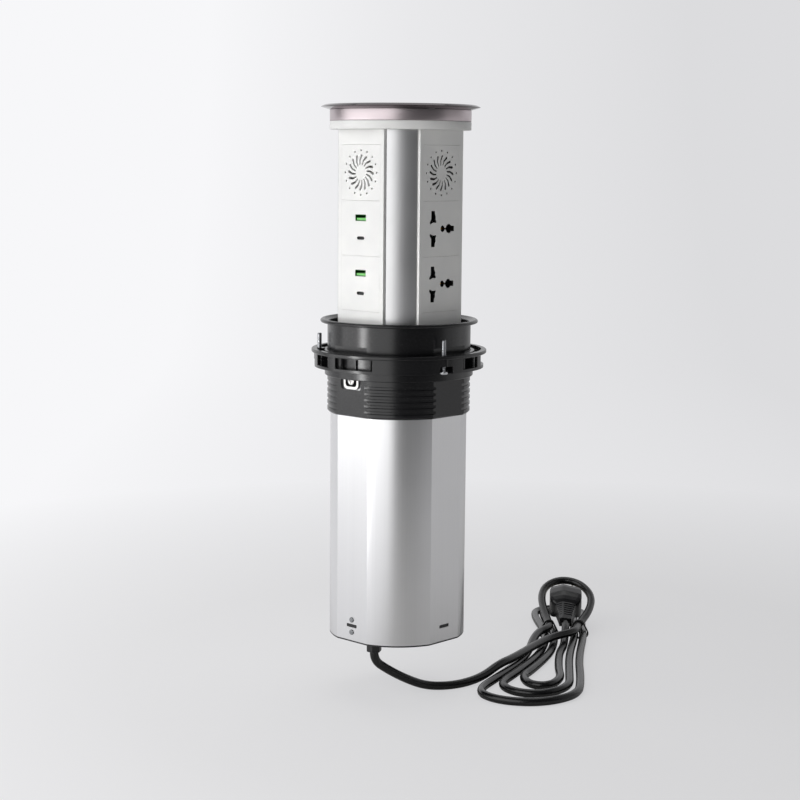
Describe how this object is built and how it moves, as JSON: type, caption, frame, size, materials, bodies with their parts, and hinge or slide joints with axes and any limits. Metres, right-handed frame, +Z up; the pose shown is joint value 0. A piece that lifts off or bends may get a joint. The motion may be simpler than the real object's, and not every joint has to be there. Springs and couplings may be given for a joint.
{
  "type": "pop-up worktop power tower",
  "caption": "Round lidded power tower that rises by motor through a worktop, with socket, USB and speaker modules on a square column and a mains lead.",
  "frame": {"origin": "on the tower's axis at the underside of the collar flange, where it rests on the worktop", "axes": "+Z up along the tower, +X out of the socket face, -Y out of the USB face"},
  "size_m": [0.2085, 0.3824, 0.4944],
  "materials": {
    "anodised_aluminium": "satin anodised",
    "satin_casing": "satin anodised",
    "polished_bezel": "polished",
    "silver_band": "satin, faintly pink",
    "white_plastic": "fine matt",
    "black_plastic": "fine matt, moulded",
    "black_gloss": "smooth",
    "cord_rubber": "smooth, half matt",
    "tie_plastic": "matt",
    "lid_glass": "smooth, dark",
    "steel": "zinc plated",
    "chrome": "polished",
    "brass": "machined",
    "green_plastic": "smooth",
    "board": "circuit board",
    "part_black": "electronic parts",
    "paper_cone": "pressed paper"
  },
  "bodies": {
    "housing": {"outer_casing": "satin_casing", "base_cap": "black_plastic", "casing_rivets": "satin_casing", "cable_gland": "black_gloss", "gland_nut": "black_gloss", "collar_flange": "black_plastic", "collar": "black_plastic", "collar_keeper": "chrome", "keeper_screw": "steel", "guide_ring": "black_plastic", "gear_motor": "steel", "motor_plate": "steel", "control_board": "board", "board_components": "part_black", "terminal_block": "black_gloss", "limit_switches": "black_plastic", "supply_lead": "cord_rubber", "mains_cord": "cord_rubber", "cord_hank": "cord_rubber", "hank_ties": "tie_plastic", "plug_body": "black_gloss", "plug_pins": "brass"},
    "column": {"corner_profile_1": "anodised_aluminium", "corner_profile_2": "anodised_aluminium", "corner_profile_3": "anodised_aluminium", "corner_profile_4": "anodised_aluminium", "top_plate": "anodised_aluminium", "carrier_plate": "black_plastic", "lead_nut": "brass", "usb_face_frame": "white_plastic", "socket_face_frame": "white_plastic", "blank_panel_rear": "white_plastic", "blank_panel_left": "white_plastic", "speaker_grilles": "white_plastic", "speaker_units": "steel", "speaker_cones": "paper_cone", "usb_module_upper": "white_plastic", "usb_module_lower": "white_plastic", "usb_a_shells": "steel", "usb_a_tongues": "green_plastic", "usb_c_ports": "part_black", "usb_board": "board", "socket_module_upper": "white_plastic", "socket_module_lower": "white_plastic", "contact_carriers": "white_plastic", "socket_contacts": "brass", "silver_band": "silver_band", "white_band": "white_plastic", "lid_ring": "polished_bezel", "lid_panel": "lid_glass", "touch_board": "board"},
    "lead_screw": {"lead_screw": "steel", "shaft_coupling": "steel"},
    "clamp_flange": {"clamp_flange": "black_plastic"},
    "ring_nut": {"ring_nut": "black_plastic"},
    "clamp_screw_1": {"clamp_screw_1": "steel"},
    "clamp_screw_2": {"clamp_screw_2": "steel"},
    "clamp_screw_3": {"clamp_screw_3": "steel"},
    "shutter_upper": {"socket_shutter_upper": "part_black"},
    "shutter_lower": {"socket_shutter_lower": "part_black"}
  },
  "joints": [
    {"name": "column_lift", "type": "slide", "parent": "housing", "child": "column", "axis": [0, 0, 1], "range_m": [-0.172, 0], "deforming": ["supply_lead"]},
    {"name": "lead_screw_spin", "type": "hinge", "parent": "housing", "child": "lead_screw", "pos_m": [0, 0, -0.2], "axis": [0, 0, 1], "range_deg": [-5, 7745]},
    {"name": "clamp_slide", "type": "slide", "parent": "housing", "child": "clamp_flange", "axis": [0, 0, 1], "range_m": [-0.027, 0.005]},
    {"name": "ring_nut_turn", "type": "hinge", "parent": "clamp_flange", "child": "ring_nut", "pos_m": [0, 0, -0.0406], "axis": [0, 0, 1], "range_deg": [-1950, 365]},
    {"name": "clamp_screw_1_travel", "type": "slide", "parent": "clamp_flange", "child": "clamp_screw_1", "axis": [0, 0, 1], "range_m": [-0.012, 0.004]},
    {"name": "clamp_screw_2_travel", "type": "slide", "parent": "clamp_flange", "child": "clamp_screw_2", "axis": [0, 0, 1], "range_m": [-0.012, 0.004]},
    {"name": "clamp_screw_3_travel", "type": "slide", "parent": "clamp_flange", "child": "clamp_screw_3", "axis": [0, 0, 1], "range_m": [-0.012, 0.004]},
    {"name": "shutter_upper_slide", "type": "slide", "parent": "column", "child": "shutter_upper", "axis": [0, -1, 0], "range_m": [0, 0.008], "stiffness_N_per_m": 60},
    {"name": "shutter_lower_slide", "type": "slide", "parent": "column", "child": "shutter_lower", "axis": [0, -1, 0], "range_m": [0, 0.008], "stiffness_N_per_m": 60}
  ],
  "couplings": [
    {"joint": "lead_screw_spin", "follows": "column_lift", "rad_per_m": -785.4},
    {"joint": "ring_nut_turn", "follows": "clamp_slide", "rad_per_m": 1256.6}
  ]
}
